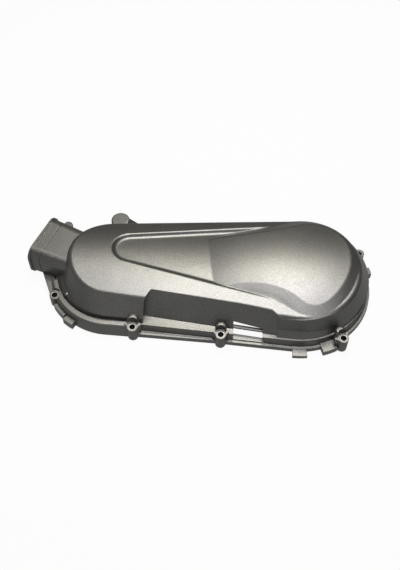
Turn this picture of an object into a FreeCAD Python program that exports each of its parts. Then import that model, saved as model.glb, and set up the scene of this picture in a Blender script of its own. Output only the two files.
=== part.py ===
import FreeCAD, Part
import math
import os

V = FreeCAD.Vector

# Main sizes in millimetres, with the mating face at height zero.
# X runs from the drive pulley end (front) to the clutch end (rear),
# Y from the near long side to the far one, both from between the axles.
axle_spacing = 216.5
front_radius = 65.3
rear_radius = 79.8
wall = 3.1

# Flange, belt wall and rail round the rim, as distances outside the base line
flange_out = 8.2
flange_thickness = 6.0
flange_draft = 0.5
gasket_face = 6.2
belt_out = 6.0
rail_out = 3.0
rail_height = 16.0
rail_inset = 1.3
swell_shift = -3.6
swell_end_from_front = 134.25

# Sloping main wall, from its foot to the ring that it aims at above the face
foot_height = 23.0
foot_inset = 1.8
front_foot_shift = (4.9, -3.0)
rear_foot_shift = (6.4, 3.0)
aim_height = 62.0
front_aim_inset = 23.5
rear_aim_inset = 16.6
front_aim_shift = (-4.9, 4.8)
rear_aim_shift = (2.8, -7.4)
shoulder = 6.0

# Crowned face, arched across and falling more on the far side
face_height = 52.5
crown_drop = 8.5
far_drop = 1.4
front_crown_width = 51.0
rear_crown_width = 66.0

# Long scoop pressed into the face, widening towards the rear
scoop_depth = 4.6
scoop_tip_from_front = 21.9
scoop_tip_y = 13.5
scoop_tip_radius = 20.0
scoop_tail_to_rear = 25.6
scoop_tail_y = 5.0
scoop_tail_radius = 54.0
scoop_rim_height = 49.0
scoop_spread = 0.9
scoop_floor_round = 5.0
scoop_rim_round = 2.5

# Raised drop-shaped plateau that grows out of the scoop floor
plateau_height = 59.5
plateau_arch = 6.0
plateau_nose_drop = 9.0
plateau_nose_length = 100.0
plateau_nose_from_front = 136.25
plateau_nose_y = 7.0
plateau_nose_radius = 21.0
plateau_end_past_rear = 14.95
plateau_end_y = 5.3
plateau_end_radius = 48.6
plateau_edge_height = 55.0
plateau_near_spread = 2.5
plateau_far_spread = 1.25
plateau_round = 6.0

# Flat recess cut into the near wall
recess_from_front = 42.3
recess_to_rear = 21.6
recess_depth = 6.3
recess_tilt = 27.8
recess_turn = 6.8
recess_top_front = 32.0
recess_top_rear = 24.5
recess_front_round = 17.0
recess_rear_round = 12.0

# Bolt bosses
bolt_hole = 6.6
boss_radius = 6.0
low_seat = 16.0
near_seat = 20.0
far_seat = 11.0
rear_seat = 14.0
flank_radius = 4.5
flank_out = 1.6
wing_length = 9.6
seat_depth = 8.6
dome_radius = 6.6
dome_rise = 8.0
dome_inset = 7.0
dome_round = 3.6
relief_radius = 7.5

# Air duct at the front end
duct_angle = 158.5
duct_reach = 93.5
duct_root = 38.0
duct_width = 63.0
duct_offset = 3.5
duct_height = 40.0
duct_bottom = 4.0
duct_corner = 12.0
duct_wall = 3.0
duct_narrowing = 0.14
duct_bead = 1.5
duct_bead_length = 3.0
duct_groove_at = 14.0
duct_groove_width = 1.3
duct_groove_depth = 0.7
lug_radius = 5.5
lug_from_mouth = 20.0
lug_height = 39.0
lug_round = 1.5

# Starter pinion boss on the far side
pinion_angle = 89.0
pinion_out = 3.7
pinion_radius = 11.2
pinion_height = 30.0
pinion_round = 1.8
pinion_bore = 8.0
pinion_cap = 5.0
gusset_front = 16.0
gusset_rear = 30.0
gusset_width = 14.0

# Outlet window in the near wall
window_to_rear = 71.7
window_width = 33.0
window_low = 7.8
window_high_front = 25.0
window_high_rear = 21.5
window_bar_low = 17.0
window_bar = 1.6
window_slant = 3.5

# Bead along the near front rim, and the stud that interrupts it
bead_in = 0.8
bead_foot = 0.5
bead_draft = 1.4
bead_height = 19.0
bead_round = 3.0
bead_start = 194.0
stud_radius = 3.7
stud_angle = 216.5
stud_out = -3.0

front_x = -axle_spacing / 2
rear_x = axle_spacing / 2
margin = 80.0


def clamp(value):
    return min(max(value, 0.0), 1.0)


def mix(a, b, share):
    return a + (b - a) * share


def hull_wire(front, rear, height):
    """Closed outline of two circles (x, y, radius) and their outer tangents."""
    ax, ay, ar = front
    bx, by, br = rear
    span = math.hypot(bx - ax, by - ay)
    lean = math.atan2(by - ay, bx - ax)
    swing = math.pi / 2 + math.asin((br - ar) / span)

    def on(circle, angle):
        x, y, r = circle
        return V(x + r * math.cos(angle), y + r * math.sin(angle), height)

    front_far = on(front, lean + swing)
    front_near = on(front, lean - swing)
    rear_far = on(rear, lean + swing)
    rear_near = on(rear, lean - swing)
    edges = [
        Part.Arc(front_far, on(front, lean + math.pi), front_near).toShape(),
        Part.LineSegment(front_near, rear_near).toShape(),
        Part.Arc(rear_near, on(rear, lean), rear_far).toShape(),
        Part.LineSegment(rear_far, front_far).toShape(),
    ]
    return Part.Wire(edges)


def ruled(wires):
    return Part.makeLoft(wires, True, True)


def rim_ring(height, out):
    """Outline of the cover at one height, a given distance outside its base line."""
    front = (front_x, 0, front_radius + out)
    rear = (rear_x, 0, rear_radius + out)
    return hull_wire(front, rear, height)


def swell_ring(height, out):
    """Outline of the front half where the rim swells towards the near side."""
    share = swell_end_from_front / axle_spacing
    front = (front_x, swell_shift, front_radius + out)
    end = (front_x + swell_end_from_front, 0, mix(front_radius, rear_radius, share) + out)
    return hull_wire(front, end, height)


def foot_circles(inset):
    sx, sy = front_foot_shift
    front = (front_x + sx, sy, front_radius - foot_inset - inset)
    sx, sy = rear_foot_shift
    rear = (rear_x + sx, sy, rear_radius - foot_inset - inset)
    return front, rear


def aim_circles(inset):
    sx, sy = front_aim_shift
    front = (front_x + sx, sy, front_radius - front_aim_inset - inset)
    sx, sy = rear_aim_shift
    rear = (rear_x + sx, sy, rear_radius - rear_aim_inset - inset)
    return front, rear


def edges_where(shape, test):
    """Edges whose points all pass a test."""
    found = []
    for edge in shape.Edges:
        first, last = edge.ParameterRange
        points = [edge.valueAt(mix(first, last, share)) for share in (0.05, 0.35, 0.65, 0.95)]
        if all(test(point) for point in points):
            found.append(edge)
    return found


def crown_height(x, y):
    half = mix(front_crown_width, rear_crown_width, (x - front_x) / axle_spacing)
    return face_height - crown_drop * (y / half) ** 2 - far_drop * (y / half) ** 3


def plateau_top_height(x, y):
    nose = front_x + plateau_nose_from_front - 8.4
    rise = (x - nose) / plateau_nose_length
    arch = ((y - plateau_end_y) / plateau_end_radius) ** 2
    return plateau_height - plateau_nose_drop * (1 - rise) ** 2 - plateau_arch * arch


def height_face(height, drop):
    """A smooth surface through a height formula, lowered by a given amount."""
    cells_x, cells_y = 5, 6
    low_x = front_x - margin
    high_x = rear_x + margin + 12
    rows = []
    for i in range(cells_x + 1):
        x = mix(low_x, high_x, i / cells_x)
        row = []
        for j in range(cells_y + 1):
            y = mix(-1.15, 1.15, j / cells_y) * rear_radius
            row.append(V(x, y, height(x, y) - drop))
        rows.append(row)
    surface = Part.BSplineSurface()
    surface.interpolate(rows)
    return surface.toShape()


def wall_solid(inset):
    """The sloping wall without its face: outside, or inset for the hollow."""
    if inset == 0:
        rings = [
            rim_ring(0, rail_inset),
            rim_ring(rail_height, rail_inset),
            hull_wire(*foot_circles(0), foot_height),
            hull_wire(*aim_circles(0), aim_height),
        ]
    else:
        rings = [
            rim_ring(-1, flange_out - gasket_face),
            rim_ring(rail_height - 2, rail_inset - 2),
            hull_wire(*foot_circles(inset), foot_height - 0.8 * inset),
            hull_wire(*aim_circles(1.15 * inset), aim_height),
        ]
    return ruled(rings)


def scoop_ring(height, inset):
    grow = (height - scoop_rim_height) * scoop_spread + inset
    tip = (front_x + scoop_tip_from_front, scoop_tip_y, scoop_tip_radius + grow)
    tail = (rear_x - scoop_tail_to_rear, scoop_tail_y, scoop_tail_radius + grow)
    return hull_wire(tip, tail, height)


def scoop_tool(inset):
    """What the scoop takes out of the face, with a rounded floor edge."""
    cone = ruled([scoop_ring(face_height - 18, inset), scoop_ring(face_height + 14, inset)])
    drop = scoop_depth + inset
    above_floor = height_face(crown_height, drop).extrude(V(0, 0, 60))
    tool = cone.common(above_floor)
    if inset == 0:
        floor = edges_where(tool, lambda p: abs(p.z + drop - crown_height(p.x, p.y)) < 0.4)
        tool = tool.makeFillet(scoop_floor_round, floor)
    return tool


def plateau_ring(height, inset):
    fall = plateau_edge_height - height
    grow = fall * (plateau_near_spread + plateau_far_spread) / 2 - inset
    shift = -fall * (plateau_near_spread - plateau_far_spread) / 2
    nose_x = front_x + plateau_nose_from_front
    nose = (nose_x, plateau_nose_y + shift, plateau_nose_radius + grow)
    end_x = rear_x + plateau_end_past_rear
    end = (end_x, plateau_end_y + shift, plateau_end_radius + grow)
    return hull_wire(nose, end, height)


def plateau_solid(inset):
    """The plateau with the slopes that fall away from it, down into the cover."""
    low = plateau_edge_height - 17
    cone = ruled([plateau_ring(low, inset), plateau_ring(plateau_edge_height + 8, inset)])
    below_top = height_face(plateau_top_height, inset).extrude(V(0, 0, -70))
    solid = cone.common(below_top)
    if inset == 0:
        top = edges_where(solid, lambda p: abs(p.z - plateau_top_height(p.x, p.y)) < 0.3)
        solid = solid.makeFillet(plateau_round, top)
    return solid


def recess_tool(inset):
    """Slab that cuts the flat recess, grown by a wall for the hollow."""
    tilt = math.radians(recess_tilt)
    turn = math.radians(recess_turn)
    across = V(math.cos(turn), -math.sin(turn), 0)
    level = V(-math.sin(turn), -math.cos(turn), 0)
    normal = level * math.cos(tilt) + V(0, 0, math.sin(tilt))
    rise = across.cross(normal) * -1
    left_x = front_x + recess_from_front - inset
    right_x = rear_x - recess_to_rear + inset
    middle_x = (left_x + right_x) / 2
    front, rear = foot_circles(0)
    share = (middle_x - front[0]) / (rear[0] - front[0])
    foot_y = mix(front[1] - front[2], rear[1] - rear[2], share)
    anchor = V(middle_x, foot_y + recess_depth, foot_height) - normal * inset
    half = (right_x - left_x) / 2
    top_front = recess_top_front + inset
    top_rear = recess_top_rear + inset
    front_round = recess_front_round + inset
    rear_round = recess_rear_round + inset
    corner = 1 - math.sqrt(0.5)
    depth = 60.0

    def at(u, v):
        return anchor + across * u + rise * v

    def arc(a, b, c):
        return Part.Arc(a, b, c).toShape()

    def line(a, b):
        return Part.LineSegment(a, b).toShape()

    foot_front = at(-half, -depth / 2)
    foot_rear = at(half, -depth / 2)
    front_side = at(-half, top_front - front_round)
    front_mid = at(-half + front_round * corner, top_front - front_round * corner)
    front_top = at(-half + front_round, top_front)
    rear_top = at(half - rear_round, top_rear)
    rear_mid = at(half - rear_round * corner, top_rear - rear_round * corner)
    rear_side = at(half, top_rear - rear_round)
    outline = Part.Wire([
        line(foot_front, front_side),
        arc(front_side, front_mid, front_top),
        line(front_top, rear_top),
        arc(rear_top, rear_mid, rear_side),
        line(rear_side, foot_rear),
        line(foot_rear, foot_front),
    ])
    return Part.Face(outline).extrude(normal * depth)


def outer_form():
    """Wall and face of the cover as a solid block."""
    blank = wall_solid(0)
    face = height_face(crown_height, 0)
    lower = blank.cut(face.extrude(V(0, 0, 60)))
    edge = edges_where(lower, lambda p: abs(p.z - crown_height(p.x, p.y)) < 0.3)
    lower = lower.makeFillet(shoulder, edge)
    lower = lower.cut(scoop_tool(0))
    rim = edges_where(lower, lambda p: abs(p.z - crown_height(p.x, p.y)) < 0.3 and is_scoop_rim(p))
    lower = lower.makeFillet(scoop_rim_round, rim)
    upper = plateau_solid(0).common(blank)
    form = lower.fuse(upper)
    return form.cut(recess_tool(0))


def is_scoop_rim(point):
    """True away from the shoulder line, where only the scoop has edges."""
    share = clamp((point.x - front_x) / axle_spacing)
    half = mix(front_radius - front_aim_inset, rear_radius - rear_aim_inset, share)
    past_front = max(front_x - point.x, 0)
    return math.hypot(past_front, point.y) < half + 4 and point.x < rear_x + 60


def inner_form():
    """The hollow under the face, one wall thickness inside."""
    blank = wall_solid(wall)
    face = height_face(crown_height, wall)
    lower = blank.cut(face.extrude(V(0, 0, 60)))
    lower = lower.cut(scoop_tool(wall))
    upper = plateau_solid(wall).common(blank)
    return lower.fuse(upper).cut(recess_tool(wall))


def rim():
    """Flange and belt wall round the foot of the cover."""
    top_out = flange_out - flange_draft
    flange = ruled([rim_ring(0, flange_out), rim_ring(flange_thickness, top_out)])
    swell = ruled([swell_ring(0, flange_out), swell_ring(flange_thickness, top_out)])
    belt = ruled([rim_ring(0, belt_out), rim_ring(rail_height, rail_out)])
    return flange.fuse(swell).fuse(belt)


def front_place(angle, out):
    a = math.radians(angle)
    r = front_radius + out
    return V(front_x + r * math.cos(a), r * math.sin(a), 0)


def rear_place(angle, out):
    a = math.radians(angle)
    r = rear_radius + out
    return V(rear_x + r * math.cos(a), r * math.sin(a), 0)


def side_place(share, out, side):
    """A point beside the near (-1) or far (+1) straight side of the rim."""
    sine = (rear_radius - front_radius) / axle_spacing
    normal = V(-sine, side * math.sqrt(1 - sine * sine), 0)
    start = V(front_x, 0, 0) + normal * (front_radius + out)
    end = V(rear_x, 0, 0) + normal * (rear_radius + out)
    return start + (end - start) * share


def outward(place):
    """Unit direction away from the line between the axles."""
    x = min(max(place.x, front_x), rear_x)
    return (place - V(x, 0, 0)).normalize()


def bolt_places():
    """Plan place and seat height of each bolt."""
    return [
        (front_place(209.2, 9.5), low_seat),
        (side_place(0.163, 9.7, -1), near_seat),
        (side_place(0.628, 7.4, -1), near_seat),
        (rear_place(303.3, 14.5), near_seat),
        (rear_place(30.5, 9.5), rear_seat),
        (rear_place(87, 6.5), far_seat),
        (side_place(0.66, 6.5, 1), far_seat),
        (side_place(0.3, 6.5, 1), far_seat),
    ]


def boss_column(place, seat):
    """Bolt column whose flanks curve out into two wings beside the wall."""
    out = outward(place)
    side = V(-out.y, out.x, 0)
    reach = boss_radius + flank_radius
    flank_side = math.sqrt(reach ** 2 - flank_out ** 2)
    lean = math.atan2(flank_out, flank_side)
    tip_out = flank_out - math.sqrt(flank_radius ** 2 - (flank_side - wing_length) ** 2)
    start = math.pi + lean
    end = math.atan2(tip_out - flank_out, wing_length - flank_side) + 2 * math.pi

    def at(u, v):
        return place + side * u + out * v

    def flank(angle):
        return flank_side + flank_radius * math.cos(angle), flank_out + flank_radius * math.sin(angle)

    edges = []
    joint, belly, tip = [flank(angle) for angle in (start, (start + end) / 2, end)]
    for sign in (1, -1):
        points = [at(sign * u, v) for u, v in (joint, belly, tip)]
        if sign < 0:
            points.reverse()
        edges.append(Part.Arc(*points).toShape())
    left, right = at(tip[0], tip[1]), at(-tip[0], tip[1])
    wall_side = Part.Arc(left, at(0, -seat_depth), right).toShape()
    rim_side = Part.Arc(at(-joint[0], joint[1]), at(0, boss_radius), at(joint[0], joint[1])).toShape()
    outline = Part.Wire([edges[0], wall_side, edges[1], rim_side])
    return Part.Face(outline).extrude(V(0, 0, seat))


def round_post(foot, radius, top, rounding):
    """Upright post whose top edge is rounded off in three steps."""
    profile = [foot, foot + V(radius, 0, 0)]
    for k in range(4):
        a = math.radians(30 * k)
        r = radius - rounding * (1 - math.cos(a))
        profile.append(V(foot.x + r, foot.y, top - rounding * (1 - math.sin(a))))
    profile += [V(foot.x, foot.y, top), foot]
    return Part.Face(Part.makePolygon(profile)).revolve(foot, V(0, 0, 1), 360)


def boss(place, seat):
    """Bolt column with a dome between its seat and the wall."""
    foot = place - outward(place) * dome_inset + V(0, 0, flange_thickness / 2)
    dome = round_post(foot, dome_radius, seat + dome_rise, dome_round)
    return boss_column(place, seat).fuse(dome)


def boss_cuts(place, seat):
    """Spot face above the seat and the bolt hole."""
    relief = Part.makeCylinder(relief_radius, 12, place + V(0, 0, seat))
    hole = Part.makeCylinder(bolt_hole / 2, seat + 2, place - V(0, 0, 1))
    return relief.fuse(hole)


def duct_frame():
    a = math.radians(duct_angle)
    along = V(math.cos(a), math.sin(a), 0)
    across = V(-math.sin(a), math.cos(a), 0)
    return along, across


def duct_section(reach, grow):
    """Rounded rectangle across the duct, narrowing towards the cover."""
    along, across = duct_frame()
    share = (duct_reach - reach) / duct_reach
    half_w = duct_width / 2 * (1 - duct_narrowing * share) + grow
    half_h = duct_height / 2 * (1 - 0.5 * duct_narrowing * share) + grow
    r = duct_corner + grow
    centre = V(front_x, 0, duct_bottom + duct_height / 2) + along * reach + across * duct_offset
    bend = r * (1 - math.sqrt(0.5))

    def at(u, v):
        return centre + across * u + V(0, 0, v)

    edges = []
    for su, sv in ((1, 1), (-1, 1), (-1, -1), (1, -1)):
        a = at(su * half_w, sv * (half_h - r))
        b = at(su * (half_w - bend), sv * (half_h - bend))
        c = at(su * (half_w - r), sv * half_h)
        if su * sv < 0:
            a, c = c, a
        edges.append(Part.Arc(a, b, c).toShape())
    ends = [edge.Vertexes[-1].Point for edge in edges]
    starts = [edge.Vertexes[0].Point for edge in edges]
    loop = []
    for k in range(4):
        loop.append(edges[k])
        loop.append(Part.LineSegment(ends[k], starts[(k + 1) % 4]).toShape())
    return Part.Wire(loop)


def duct_slice(reach_a, reach_b, grow):
    return ruled([duct_section(reach_a, grow), duct_section(reach_b, grow)])


def duct():
    """Air duct with its retaining bead and the groove for a clip."""
    tube = duct_slice(duct_reach, duct_root, 0)
    bead = duct_slice(duct_reach, duct_reach - duct_bead_length, duct_bead)
    start = duct_reach - duct_groove_at
    end = start - duct_groove_width
    groove = duct_slice(start, end, 1).cut(duct_slice(start + 1, end - 1, -duct_groove_depth))
    return tube.fuse(bead).cut(groove)


def duct_lug():
    along, across = duct_frame()
    centre = V(front_x, 0, 0) + along * (duct_reach - lug_from_mouth)
    centre += across * (duct_offset - duct_width / 2 + 3)
    return round_post(centre, lug_radius, lug_height, lug_round)


def duct_web(bolt):
    """Web between the duct's underside and the first bolt boss."""
    along, across = duct_frame()
    under = V(front_x, 0, 0) + along * (duct_reach - 14) + across * (duct_width / 2 - 9)
    low = hull_wire((bolt.x, bolt.y, boss_radius - 1.5), (under.x, under.y, boss_radius + 1), 0)
    return Part.Face(low).extrude(V(0, 0, low_seat - 2))


def pinion_place():
    return front_place(pinion_angle, pinion_out)


def pinion_boss():
    """Blind boss for the starter pinion with gussets down to the flange."""
    place = pinion_place()
    post = round_post(place, pinion_radius, pinion_height, pinion_round)
    gusset = Part.makePolygon([
        place + V(-gusset_front - pinion_radius, -gusset_width / 2, flange_thickness / 2),
        place + V(-gusset_front, -gusset_width / 2, flange_thickness),
        place + V(-pinion_radius / 2, -gusset_width / 2, pinion_height - 2),
        place + V(pinion_radius / 2, -gusset_width / 2, pinion_height - 2),
        place + V(gusset_rear, -gusset_width / 2, flange_thickness),
        place + V(gusset_rear + pinion_radius, -gusset_width / 2, flange_thickness / 2),
        place + V(-gusset_front - pinion_radius, -gusset_width / 2, flange_thickness / 2),
    ])
    return post.fuse(Part.Face(gusset).extrude(V(0, gusset_width, 0)))


def pinion_pocket():
    depth = pinion_height - pinion_cap
    return Part.makeCylinder(pinion_bore, depth + 1, pinion_place() - V(0, 0, 1))


def sector(centre_x, radius_in, radius_out, start, end, low, high):
    """Ring sector block about one axle."""
    a, b = math.radians(start), math.radians(end)
    m = (a + b) / 2

    def at(r, angle):
        return V(centre_x + r * math.cos(angle), r * math.sin(angle), low)

    outline = Part.Wire([
        Part.Arc(at(radius_in, a), at(radius_in, m), at(radius_in, b)).toShape(),
        Part.LineSegment(at(radius_in, b), at(radius_out, b)).toShape(),
        Part.Arc(at(radius_out, b), at(radius_out, m), at(radius_out, a)).toShape(),
        Part.LineSegment(at(radius_out, a), at(radius_in, a)).toShape(),
    ])
    return Part.Face(outline).extrude(V(0, 0, high - low))


def pads():
    """Flat pads and tabs that stand out from the flange."""
    f, r = front_radius, rear_radius
    low = flange_thickness
    return [
        sector(front_x, f + 5, f + 15, 215, 229.5, 0, low + 4),
        sector(front_x, f + 5, f + 18, 231, 240.5, 0, low + 4),
        sector(rear_x, r + 4, r + 16.5, 267.5, 277.5, 0, low - 1),
        sector(rear_x, r + 4, r + 16.5, 288.5, 299, 0, low + 2),
        sector(rear_x, r + 4, r + 13, 12, 18, 0, low + 3),
    ]


def bead():
    """Rounded bead along the near front rim, from the duct to the second bolt."""
    foot_out = flange_out + bead_foot
    outer = ruled([swell_ring(0, foot_out), swell_ring(bead_height, foot_out - bead_draft)])
    top = edges_where(outer, lambda p: abs(p.z - bead_height) < 0.01)
    outer = outer.makeFillet(bead_round, top)
    inner = ruled([swell_ring(-1, bead_in), swell_ring(bead_height + 1, bead_in)])
    ring = outer.cut(inner)
    end = side_place(0.14, 0, -1)
    start = math.radians(bead_start)
    reach = front_radius + 60
    keep = Part.makePolygon([
        V(front_x, 0, 0),
        V(front_x + reach * math.cos(start), reach * math.sin(start), 0),
        V(front_x - reach, -reach, 0),
        V(end.x, -reach, 0),
        V(end.x, 0, 0),
        V(front_x, 0, 0),
    ])
    ring = ring.common(Part.Face(keep).extrude(V(0, 0, aim_height)))
    gap = Part.makeCylinder(stud_radius + 2.2, aim_height, front_place(stud_angle, stud_out))
    return ring.cut(gap)


def stud():
    place = front_place(stud_angle, stud_out)
    return round_post(place, stud_radius, bead_height + stud_radius, stud_radius - 0.3)


def window():
    """Outlet window in the near wall, crossed by a thin bar."""
    left = rear_x - window_to_rear - 0.5
    right = left + window_width
    y_out = -rear_radius - flange_out - 5
    reach = 40.0

    def opening(low, low_right, high_left, high_right):
        outline = Part.makePolygon([
            V(left, y_out, low),
            V(low_right, y_out, low),
            V(right, y_out, high_right),
            V(left, y_out, high_left),
            V(left, y_out, low),
        ])
        return Part.Face(outline).extrude(V(0, reach, 0))

    lower = opening(window_low, right + window_slant, window_bar_low, window_bar_low)
    upper = opening(window_bar_low + window_bar, right, window_high_front, window_high_rear)
    return lower.fuse(upper)


def cover():
    bolts = bolt_places()
    solid = outer_form().fuse(rim())
    adds = [duct(), duct_lug(), duct_web(bolts[0][0]), pinion_boss(), bead(), stud()]
    adds += pads()
    adds.append(boss_column(*bolts[0]))
    adds += [boss(place, seat) for place, seat in bolts[1:]]
    for add in adds:
        solid = solid.fuse(add)
    hollow = inner_form()
    cuts = [hollow, duct_slice(duct_reach + 1, duct_root - 10, -duct_wall)]
    cuts += [pinion_pocket(), window()]
    cuts += [boss_cuts(place, seat) for place, seat in bolts]
    for cut in cuts:
        solid = solid.cut(cut)
    return solid


def main():
    os.makedirs("parts", exist_ok=True)
    solid = cover()
    box = solid.optimalBoundingBox(True, False)
    solid.translate(V(-box.Center.x, -box.Center.y, -box.ZMin))
    print("solids", len(solid.Solids), "valid", solid.isValid(), "volume", round(solid.Volume))
    print("size", box, "shift", -box.Center.x, -box.Center.y)
    solid.exportStep("parts/clutch_cover.step")


if __name__ == "__main__":
    main()
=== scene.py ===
# %% [markdown]
# A painted die casting in a studio
# This lesson dresses one die-cast cover, the lid over the belt drive and the clutch of a
# small scooter. The frame holds the finished solid, so the work here is all in the finish
# and the light: metallic paint outside, bare cast skin inside, and milled metal where the
# cover is bolted down. The casting has no pieces of its own that repeat or follow a path,
# so there are no geometry nodes. Camera and lamps are set as in the photograph.

# %% Load the frame
import math

import bpy
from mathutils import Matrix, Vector

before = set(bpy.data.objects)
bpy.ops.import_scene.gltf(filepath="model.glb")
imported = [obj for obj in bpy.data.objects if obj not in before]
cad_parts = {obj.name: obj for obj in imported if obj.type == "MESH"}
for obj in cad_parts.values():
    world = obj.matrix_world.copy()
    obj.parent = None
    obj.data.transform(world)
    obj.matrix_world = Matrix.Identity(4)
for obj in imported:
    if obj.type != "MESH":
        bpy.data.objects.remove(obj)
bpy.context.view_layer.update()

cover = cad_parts["clutch_cover"]

# %% [markdown]
# The camera
# The photograph looks down on the cover from its near long side, about 56 degrees above
# the floor and very slightly from the right. A real lens could be guessed, but a long
# focal length from almost a metre away gives the same mild perspective, and with no
# shift the view stays centred on the same point when the camera is moved elsewhere.

# %% Camera
PHOTO_HEIGHT_PX = 570
FOCAL_PX = 794.55
SENSOR_MM = 36.0
ELEVATION = math.radians(55.65)
AZIMUTH = math.radians(3.21)
CAMERA_DISTANCE = 0.92428
LOOK_AT = Vector((0.000293, -0.017136, 0.025))


def direction(azimuth, elevation):
    """Unit vector from the object towards a place seen at these angles."""
    level = math.cos(elevation)
    return Vector((math.sin(azimuth) * level, -math.cos(azimuth) * level, math.sin(elevation)))


camera_data = bpy.data.cameras.new("photo_camera")
camera_data.sensor_fit = "VERTICAL"
camera_data.sensor_height = SENSOR_MM
camera_data.lens = FOCAL_PX / PHOTO_HEIGHT_PX * SENSOR_MM
camera = bpy.data.objects.new("photo_camera", camera_data)
bpy.context.scene.collection.objects.link(camera)
back = direction(AZIMUTH, ELEVATION)
camera.location = LOOK_AT + back * CAMERA_DISTANCE
camera.rotation_euler = back.to_track_quat("Z", "Y").to_euler()
bpy.context.scene.camera = camera
print("lens", round(camera_data.lens, 2), "mm")

# %% [markdown]
# Shader maths as Python
# A node tree is a formula drawn with boxes. It could be built by linking each box by
# hand, but a small class that overloads the operators lets the formula be written as a
# formula. Any other node comes from one method that takes its type, settings and inputs.

# %% Shader helper


class Sock:
    """A socket of a shader tree that can be used in Python expressions."""

    def __init__(self, paint, socket):
        self.paint = paint
        self.socket = socket

    def maths(self, operation, *others):
        return self.paint.maths(operation, self, *others)

    def __add__(self, other):
        return self.maths("ADD", other)

    def __radd__(self, other):
        return self.maths("ADD", other)

    def __sub__(self, other):
        return self.maths("SUBTRACT", other)

    def __rsub__(self, other):
        return self.paint.maths("SUBTRACT", other, self)

    def __mul__(self, other):
        return self.maths("MULTIPLY", other)

    def __rmul__(self, other):
        return self.maths("MULTIPLY", other)

    def __truediv__(self, other):
        return self.maths("DIVIDE", other)

    def __neg__(self):
        return self.maths("MULTIPLY", -1.0)

    def __pow__(self, other):
        return self.maths("POWER", other)

    def least(self, other):
        return self.maths("MINIMUM", other)

    def most(self, other):
        return self.maths("MAXIMUM", other)

    def size(self):
        return self.maths("ABSOLUTE")

    def root(self):
        return self.maths("SQRT")

    def ramp(self, low, high):
        """0 at low, 1 at high, smooth between; low may be the larger."""
        settings = {"interpolation_type": "SMOOTHSTEP"}
        inputs = {"Value": self, "From Min": low, "From Max": high}
        return self.paint.node("ShaderNodeMapRange", settings, inputs)


class Paint:
    """A material or a world whose tree is written with expressions."""

    def __init__(self, owner):
        owner.use_nodes = True
        self.owner = owner
        self.tree = owner.node_tree
        self.tree.nodes.clear()

    def put(self, socket, value):
        if isinstance(value, Sock):
            self.tree.links.new(value.socket, socket)
        else:
            socket.default_value = value

    def node(self, kind, settings=None, inputs=None, output=0):
        """Any node: settings first, then the values or links of its sockets."""
        made = self.tree.nodes.new(kind)
        for key, value in (settings or {}).items():
            setattr(made, key, value)
        for key, value in (inputs or {}).items():
            self.put(made.inputs[key], value)
        return Sock(self, made.outputs[output])

    def maths(self, operation, *values):
        return self.node("ShaderNodeMath", {"operation": operation}, dict(enumerate(values)))

    def blend(self, factor, first, second):
        """Mix of two colours: the first where factor is 0."""
        inputs = {0: factor, 6: first, 7: second}
        return self.node("ShaderNodeMix", {"data_type": "RGBA"}, inputs, output=2)

    def place(self):
        """Object coordinates, in metres from the frame's origin."""
        return self.node("ShaderNodeTexCoord", output=3)

    def split(self, vector):
        made = self.tree.nodes.new("ShaderNodeSeparateXYZ")
        self.put(made.inputs[0], vector)
        return [Sock(self, output) for output in made.outputs]

    def noise(self, scale, detail):
        inputs = {"Vector": self.place(), "Scale": scale, "Detail": detail, "Roughness": 0.55}
        return self.node("ShaderNodeTexNoise", {}, inputs)

    def glow(self, kind, strength):
        """White light of one strength, from a surface or from the world."""
        return self.node(kind, {}, {"Color": (1, 1, 1, 1), "Strength": strength})

    def mix(self, factor, first, second):
        """Mix of two shaders: the first where factor is 0."""
        return self.node("ShaderNodeMixShader", {}, {0: factor, 1: first, 2: second})

    def surface(self, shader, kind="ShaderNodeOutputMaterial"):
        output = self.tree.nodes.new(kind)
        self.tree.links.new(shader.socket, output.inputs["Surface"])
        return self.owner


print("shader helper ready")

# %% [markdown]
# Where the screws are
# Eight screws hold the cover. Each seat wears a ring from its screw head, and each hole's
# wall is painted near black, as painted shade for the dark inside. Their places could be
# typed in one by one. They are worked out instead from the same sizes as the casting: the
# two axles, the rim round them, and one angle or one share along a side.

# %% Screw places
MM = 0.001
AXLE_SPACING = 0.2165
FRONT_RADIUS = 0.0653
REAR_RADIUS = 0.0798
MIDWAY = Vector((0.0047996, 0.0020591, 0))
FRONT_AXLE = MIDWAY - Vector((AXLE_SPACING / 2, 0, 0))
REAR_AXLE = MIDWAY + Vector((AXLE_SPACING / 2, 0, 0))
LOW_SEAT, NEAR_SEAT, REAR_SEAT, FAR_SEAT = 0.016, 0.020, 0.014, 0.011


def round_end(axle, radius, degrees, out):
    """A place out millimetres beyond the rim, on the round end about an axle."""
    angle = math.radians(degrees)
    return axle + Vector((math.cos(angle), math.sin(angle), 0)) * (radius + out * MM)


def along_side(share, out, side):
    """A place beside the straight rim: share 0 at the front, side -1 near or 1 far."""
    sine = (REAR_RADIUS - FRONT_RADIUS) / AXLE_SPACING
    normal = Vector((-sine, side * math.sqrt(1 - sine * sine), 0))
    start = FRONT_AXLE + normal * (FRONT_RADIUS + out * MM)
    end = REAR_AXLE + normal * (REAR_RADIUS + out * MM)
    return start.lerp(end, share)


SCREWS = [
    (round_end(FRONT_AXLE, FRONT_RADIUS, 209.2, 9.5), LOW_SEAT),
    (along_side(0.163, 9.7, -1), NEAR_SEAT),
    (along_side(0.628, 7.4, -1), NEAR_SEAT),
    (round_end(REAR_AXLE, REAR_RADIUS, 303.3, 14.5), NEAR_SEAT),
    (round_end(REAR_AXLE, REAR_RADIUS, 30.5, 9.5), REAR_SEAT),
    (round_end(REAR_AXLE, REAR_RADIUS, 87, 6.5), FAR_SEAT),
    (along_side(0.66, 6.5, 1), FAR_SEAT),
    (along_side(0.3, 6.5, 1), FAR_SEAT),
]
print("screws", [[round(c, 4) for c in place] for place, _ in SCREWS])

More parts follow.
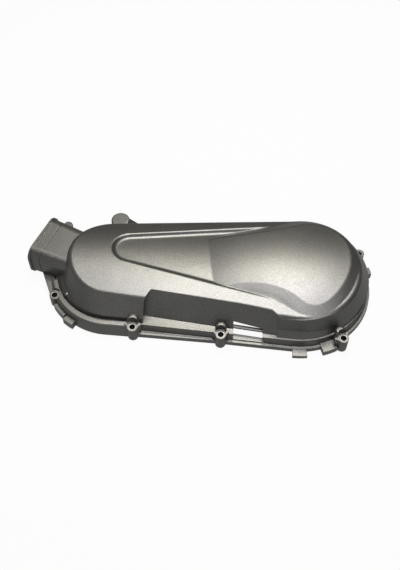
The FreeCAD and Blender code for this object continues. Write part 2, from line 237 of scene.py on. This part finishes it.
# %% [markdown]
# Where each finish lies
# Paint, cast skin and milled metal meet on one solid. The mesh could be split by hand
# and each piece given its own material, but the frame's mesh stays whole. Masks do it
# instead: numbers from 0 to 1, worked out from where a spot is and which way it faces.

# %% Masks
HOLE_RADIUS = 3.3 * MM
RING_WIDTH = 1.1 * MM
INWARD_SHARE = 0.6
FOOT_HEIGHT = 0.2 * MM


def from_axles(x, y):
    """The way out from the line between the axles, and how far past the rim a spot is."""
    along = (x - MIDWAY.x).most(-AXLE_SPACING / 2).least(AXLE_SPACING / 2)
    share = along * (1 / AXLE_SPACING) + 0.5
    out_x = x - MIDWAY.x - along
    out_y = y - MIDWAY.y
    reach = (out_x ** 2 + out_y ** 2).root().most(MM)
    beyond = reach - share * (REAR_RADIUS - FRONT_RADIUS) - FRONT_RADIUS
    return out_x / reach, out_y / reach, beyond


def screw_masks(x, y, z):
    """Painted shade on the walls of the screw holes, and the ring that screw heads wear on
    each seat.
    """
    bore_shade = rings = 0.0
    for place, seat in SCREWS:
        reach = ((x - place.x) ** 2 + (y - place.y) ** 2).root()
        # The hole walls are marked for a near-black colour: painted shade for the dark inside
        # of each hole.
        hole_wall_shade = 1 - reach.ramp(HOLE_RADIUS + 0.1 * MM, HOLE_RADIUS + 0.3 * MM)
        ring = 1 - reach.ramp(HOLE_RADIUS + 0.2 * MM, HOLE_RADIUS + RING_WIDTH)
        level = 1 - (z - seat).size().ramp(0.1 * MM, 0.4 * MM)
        bore_shade = hole_wall_shade.most(bore_shade)
        rings = (ring * level).most(rings)
    return bore_shade, rings


def hollow_mask(x, y, normal):
    """The hollow: faces within the rim that turn inwards or down."""
    out_x, out_y, beyond = from_axles(x, y)
    outward = normal[0] * out_x + normal[1] * out_y
    turned = -(outward * INWARD_SHARE + normal[2])
    return turned.ramp(0.1, 0.16) * (1 - beyond.ramp(1.5 * MM, 2.5 * MM))


def foot_mask(z, normal):
    """The mating face under the rim."""
    return (1 - z.ramp(FOOT_HEIGHT / 2, FOOT_HEIGHT)) * (-normal[2]).ramp(0.97, 0.99)


print("masks ready")

# %% [markdown]
# The finish of the casting
# Seen close, the paint is a clear coat over fine metal flakes: each flake leans its own
# way, so the surface glitters in grains. A flat grey would look like plastic. Voronoi
# cells give every flake one random value, which lightens it or not, and a bump on the
# same value tilts it. A slow noise lets the paint lie thicker here and thinner there, and
# a finer one gives it the skin of an orange. The inside is never painted: it is the dull,
# gritty skin that the metal took from the die. The foot of the rim is milled bare, and the
# seats are sprayed with the rest and worn by the screw heads. Die castings have no sharp
# edge, so a bevel softens the shading of each, most where the plateau grows from the face.

# %% Cast cover finish
PAINT_GREY = (0.245, 0.242, 0.222, 1)
PAINT_DEEP = (0.205, 0.202, 0.188, 1)
FLAKE_LIGHT = (0.42, 0.418, 0.405, 1)
FLAKE_DARK = (0.11, 0.108, 0.1, 1)
CAST_SKIN = (0.50, 0.495, 0.48, 1)
CAST_DULL = (0.40, 0.395, 0.385, 1)
MILLED = (0.74, 0.735, 0.72, 1)
# Near black for the screw-hole walls: painted shade.
BORE_PAINTED_SHADE = (0.02, 0.02, 0.02, 1)

FLAKES_PER_METRE = 1900.0
DRIFT_SCALE, SKIN_SCALE, MOTTLE_SCALE, GRIT_SCALE = 14.0, 650.0, 1100.0, 2600.0
FLAKE_SHARE, MOTTLE_SHARE, WORN_SHARE = 0.3, 0.4, 0.6
METAL_SHARE, COAT_SHARE = 0.96, 0.25
PAINT_ROUGH, CAST_ROUGH, MILLED_ROUGH, COAT_ROUGH = 0.40, 0.52, 0.3, 0.3
EDGE_RADIUS, PLATEAU_EXTRA = 0.7 * MM, 1.8 * MM
PLATEAU_START, PLATEAU_SPREAD = -20 * MM, 20 * MM
PLATEAU_FOOT, PLATEAU_RISE = 41 * MM, 5 * MM
BUMP_HEIGHT, BUMP_STRENGTH = 0.05 * MM, 0.4


def cover_finish():
    paint = Paint(bpy.data.materials.new("cast_cover"))
    spot = paint.place()
    x, y, z = paint.split(spot)
    normal = paint.split(paint.node("ShaderNodeNewGeometry", output=1))

    bore_shade, rings = screw_masks(x, y, z)
    worn = rings * normal[2].ramp(0.9, 0.97)
    foot = foot_mask(z, normal)
    inside = hollow_mask(x, y, normal)
    behind = (x - PLATEAU_START).ramp(-PLATEAU_SPREAD, PLATEAU_SPREAD)
    plateau = behind * z.ramp(PLATEAU_FOOT, PLATEAU_FOOT + PLATEAU_RISE)

    cell_inputs = {"Vector": spot, "Scale": FLAKES_PER_METRE}
    cells = paint.node("ShaderNodeTexVoronoi", {}, cell_inputs, output=1)
    flake, lean, _ = paint.split(cells)
    drift = paint.noise(DRIFT_SCALE, 2.0)
    skin = paint.noise(SKIN_SCALE, 3.0)
    mottle = paint.noise(MOTTLE_SCALE, 1.0)
    grit = paint.noise(GRIT_SCALE, 2.0)

    grey = paint.blend(drift.ramp(0.3, 0.7), PAINT_GREY, PAINT_DEEP)
    grey = paint.blend(flake * FLAKE_SHARE, grey, FLAKE_LIGHT)
    grey = paint.blend(mottle.ramp(0.62, 0.4) * MOTTLE_SHARE, grey, FLAKE_DARK)
    cast = paint.blend(skin.ramp(0.35, 0.7), CAST_SKIN, CAST_DULL)
    colour = paint.blend(inside, grey, cast)
    colour = paint.blend(worn * WORN_SHARE, colour, MILLED)
    colour = paint.blend(foot, colour, MILLED)
    # The screw-hole walls turn near black and lose their metal: painted shade where each hole
    # is dark inside.
    colour = paint.blend(bore_shade, colour, BORE_PAINTED_SHADE)

    rough_paint = PAINT_ROUGH + lean * 0.1
    rough_cast = CAST_ROUGH + skin * 0.16
    rough = rough_paint + (rough_cast - rough_paint) * inside
    rough = rough + (MILLED_ROUGH - rough) * foot

    radius = EDGE_RADIUS + PLATEAU_EXTRA * plateau
    soft = paint.node("ShaderNodeBevel", {"samples": 8}, {"Radius": radius})
    height = (flake * 0.6 + skin + grit * inside * 2.5) * (1 - foot * 0.85)
    relief = paint.node("ShaderNodeBump", {}, {
        "Height": height, "Strength": BUMP_STRENGTH, "Distance": BUMP_HEIGHT, "Normal": soft})

    inputs = {
        "Base Color": colour,
        "Metallic": METAL_SHARE - METAL_SHARE * bore_shade,
        "Roughness": rough,
        "Normal": relief,
        "Coat Weight": (1 - inside.most(foot)) * COAT_SHARE,
        "Coat Roughness": COAT_ROUGH,
    }
    return paint.surface(paint.node("ShaderNodeBsdfPrincipled", {}, inputs))


cast_finish = cover_finish()
for slot in cover.material_slots:
    slot.material = cast_finish
print("finish", cast_finish.name, "on", cover.name)

# %% [markdown]
# Floor and background
# The cover lies on a white sweep. A real one is lit until it burns out, which would
# also burn the cover. Light Path lets camera and mirror rays see nearly plain white, with
# a little of the real floor mixed in to keep the soft shadow under the rim. Under the
# cover, where little light gets in, the floor keeps its own shade, apart from a strip
# inside the outlet window.

# %% Floor and world
FLOOR_HALF = 3.0
GLOW_SHARE = 0.94
FAR_GLOW = 0.97
WORLD_LIGHT = 0.2
FLOOR_WHITE = (0.8, 0.8, 0.8, 1)
RIM_WIDTH = 4 * MM
WINDOW_STRIP = 30 * MM
WINDOW_X, WINDOW_Y = 25 * MM, -20 * MM
WINDOW_FADE = 10 * MM


def white_to_lens(paint):
    """1 for the rays that should see the white background."""
    path = paint.tree.nodes.new("ShaderNodeLightPath")
    seen = [Sock(paint, path.outputs[name]) for name in (
        "Is Camera Ray", "Is Glossy Ray", "Is Transmission Ray")]
    return seen[0].most(seen[1]).most(seen[2])


def floor_finish():
    paint = Paint(bpy.data.materials.new("white_floor"))
    x, y, _ = paint.split(paint.place())
    right = x.ramp(WINDOW_X, WINDOW_X + WINDOW_FADE)
    by_window = right * (-y).ramp(-WINDOW_Y, -WINDOW_Y + WINDOW_FADE)
    rim = RIM_WIDTH + by_window * WINDOW_STRIP
    open_floor = (from_axles(x, y)[2] + rim).ramp(-RIM_WIDTH, 0.0)
    board = paint.node("ShaderNodeBsdfDiffuse", {}, {"Color": FLOOR_WHITE})
    glow = paint.glow("ShaderNodeEmission", 1.0)
    share = white_to_lens(paint) * open_floor * GLOW_SHARE
    return paint.surface(paint.mix(share, board, glow))


def card(name, corners, material):
    """A flat rectangle of the studio, given by its four corners."""
    mesh = bpy.data.meshes.new(name)
    mesh.from_pydata(corners, [], [(0, 1, 2, 3)])
    mesh.materials.append(material)
    made = bpy.data.objects.new(name, mesh)
    bpy.context.scene.collection.objects.link(made)
    return made


def square(half, height):
    """Corners of a level square, from the near front one, against the clock."""
    signs = ((-1, -1), (1, -1), (1, 1), (-1, 1))
    return [Vector((half * a, half * b, height)) for a, b in signs]


card("floor", square(FLOOR_HALF, 0.0), floor_finish())

world = bpy.data.worlds.new("studio")
bpy.context.scene.world = world
sky = Paint(world)
sky_dim = sky.glow("ShaderNodeBackground", WORLD_LIGHT)
sky_white = sky.glow("ShaderNodeBackground", FAR_GLOW)
sky.surface(sky.mix(white_to_lens(sky), sky_dim, sky_white), "ShaderNodeOutputWorld")
print("floor and world ready")

# %% [markdown]
# Grey tent
# Metallic paint shows what stands round it. In the photograph the steep walls are dark,
# because the studio round the table is dim and only the lamps overhead are bright. A
# picture of a studio could be wrapped round the scene, but six dim cards are enough, and
# each has one plain grey. The lens doesn't see them, and they cast no shadow. The table
# card lies just over the floor, so that the walls don't mirror the white; it gives the
# floor no light of its own.

# %% Tent
TENT_HALF = 1.5
TENT_TOP = 1.7
TABLE_GAP = 0.4 * MM
TENT_GREYS = {
    "near": 0.35, "rear": 0.1, "far": 0.09, "front": 0.2, "table": 0.31, "roof": 0.05}


def tent_card(side, corners):
    paint = Paint(bpy.data.materials.new("tent_" + side))
    dim = paint.glow("ShaderNodeEmission", TENT_GREYS[side])
    made = card("tent_" + side, corners, paint.surface(dim))
    made.visible_camera = False
    made.visible_shadow = False
    made.visible_diffuse = side != "table"


base = square(TENT_HALF, TABLE_GAP)
top = square(TENT_HALF, TABLE_GAP + TENT_TOP)
tent_card("table", base)
tent_card("roof", top)
for number, side in enumerate(("near", "rear", "far", "front")):
    following = (number + 1) % 4
    tent_card(side, [base[number], base[following], top[following], top[number]])
print("tent", 2 * TENT_HALF, "m wide,", len(TENT_GREYS), "cards")

# %% [markdown]
# Lamps
# Two softboxes hang side by side over the cover. One large lamp could light it, but the
# photograph has two tints: the farther lamp is a little warm and lights the level faces,
# and the nearer one is a little cool and lights the faces that lean towards the lens.

# %% Lamps
LAMP_DISTANCE = 1.3
LAMP_SIDE = 0.08
LAMP_SIZE = (0.6, 0.2)
WARM = (1.0, 0.98, 0.86)
COOL = (0.96, 0.94, 1.0)


def softbox(name, lean, power, tint):
    """A lamp over the cover, leaning away from the camera's side by degrees."""
    data = bpy.data.lights.new(name, "AREA")
    data.shape = "RECTANGLE"
    data.size, data.size_y = LAMP_SIZE
    data.energy = power
    data.color = tint
    lamp = bpy.data.objects.new(name, data)
    bpy.context.scene.collection.objects.link(lamp)
    toward = direction(AZIMUTH, math.radians(90 + lean))
    lamp.location = LOOK_AT + toward * LAMP_DISTANCE + Vector((LAMP_SIDE, 0, 0))
    lamp.rotation_euler = toward.to_track_quat("Z", "Y").to_euler()


softbox("far_softbox", 22, 5.8, WARM)
softbox("near_softbox", 4, 10.0, COOL)

# %% [markdown]
# Hand over The colours are shown as they are, with no film look over them.

# %% Finish
bpy.context.scene.view_settings.view_transform = "Standard"
